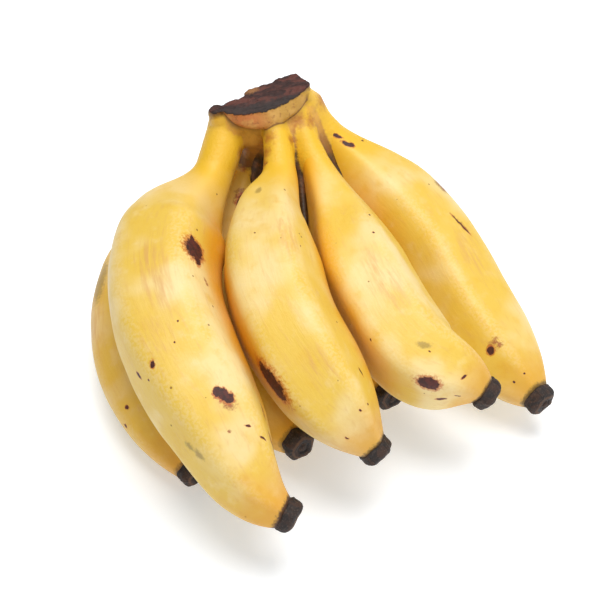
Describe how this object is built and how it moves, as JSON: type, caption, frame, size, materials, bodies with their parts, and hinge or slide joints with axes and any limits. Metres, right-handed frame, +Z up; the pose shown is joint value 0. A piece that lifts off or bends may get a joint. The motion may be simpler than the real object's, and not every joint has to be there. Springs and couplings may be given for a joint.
{
  "type": "bunch of bananas",
  "caption": "Bunch of plump ripe bananas hanging together on a cut crown, lying on its lower row, with ridged peel and dried flower ends.",
  "frame": {"origin": "on the surface the bunch lies on, under the middle of its bounding box", "axes": "+Z up from the surface; the crown is at the +Y side and the bananas reach towards -Y and bend towards +X"},
  "size_m": [0.176, 0.17, 0.0889],
  "materials": {
    "peel": "waxy satin peel, yellow with brown flecks",
    "crown_skin": "dry fibrous cut with browned skin",
    "dried_flower": "dry, dark and brittle"
  },
  "bodies": {
    "root": {"crown": "crown_skin", "banana_upper_1": "peel", "banana_upper_2": "peel", "banana_upper_3": "peel", "banana_upper_4": "peel", "banana_lower_1": "peel", "banana_lower_2": "peel", "banana_lower_3": "peel", "flower_end_upper_1": "dried_flower", "flower_end_upper_2": "dried_flower", "flower_end_upper_3": "dried_flower", "flower_end_upper_4": "dried_flower", "flower_end_lower_1": "dried_flower", "flower_end_lower_2": "dried_flower", "flower_end_lower_3": "dried_flower"}
  },
  "joints": []
}
